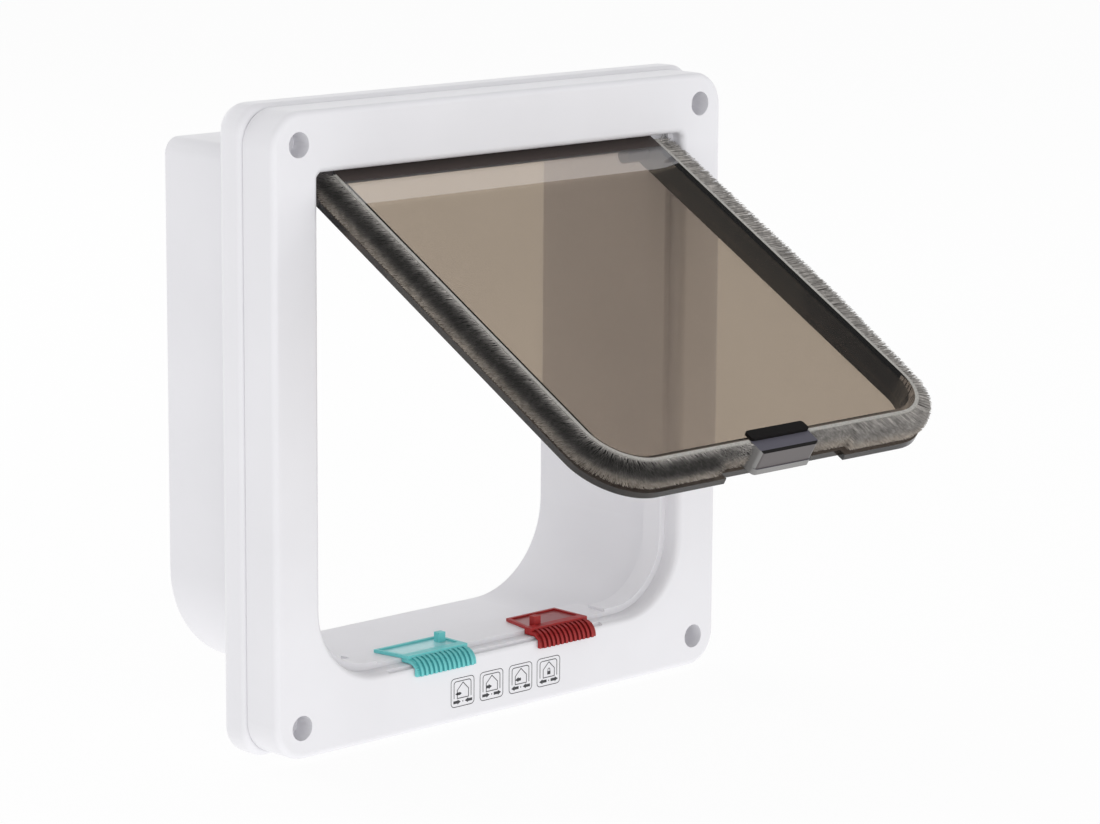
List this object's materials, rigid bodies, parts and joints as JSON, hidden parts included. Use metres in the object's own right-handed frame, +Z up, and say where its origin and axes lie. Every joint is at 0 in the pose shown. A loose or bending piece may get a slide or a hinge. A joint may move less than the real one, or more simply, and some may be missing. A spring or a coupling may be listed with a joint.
{
  "type": "cat flap",
  "caption": "Four-way cat flap with a smoked top-hinged panel, brush draught strips, two locking sliders on the sill and a trim ring that slides on the tunnel.",
  "frame": {"origin": "middle of the four screw holes, in the front face", "axes": "+X to the right seen from the front, +Y into the door away from the front face, +Z up"},
  "size_m": [0.1914, 0.1901, 0.2004],
  "materials": {
    "white_plastic": "satin moulded",
    "smoked_plastic": "clear gloss",
    "tape": "woven tape",
    "pile": "brush pile",
    "clip_plastic": "gloss",
    "magnet": "matt ferrite",
    "steel": "drawn wire",
    "teal_plastic": "satin moulded",
    "red_plastic": "satin moulded"
  },
  "bodies": {
    "frame": {"front_frame": "white_plastic", "sill_magnet": "magnet", "magnet_plug": "white_plastic"},
    "trim_ring": {"rear_frame": "white_plastic"},
    "flap": {"flap_panel": "smoked_plastic", "magnet_clip": "clip_plastic", "flap_magnet": "magnet", "strip_backing_left": "tape", "strip_backing_right": "tape", "strip_pile_left": "pile", "strip_pile_right": "pile", "hinge_pin_left": "steel", "hinge_pin_right": "steel"},
    "teal_lock": {"teal_slider": "teal_plastic"},
    "red_lock": {"red_slider": "red_plastic"}
  },
  "joints": [
    {"name": "flap_hinge", "type": "hinge", "parent": "frame", "child": "flap", "pos_m": [0, 0.007, 0.0725], "axis": [1, 0, 0], "range_deg": [-25, 145]},
    {"name": "trim_slide", "type": "slide", "parent": "frame", "child": "trim_ring", "axis": [0, 1, 0], "range_m": [0, 0.035]},
    {"name": "teal_slide", "type": "slide", "parent": "frame", "child": "teal_lock", "axis": [-1, 0, 0], "range_m": [0, 0.0075]},
    {"name": "red_slide", "type": "slide", "parent": "frame", "child": "red_lock", "axis": [1, 0, 0], "range_m": [0, 0.0075]}
  ]
}
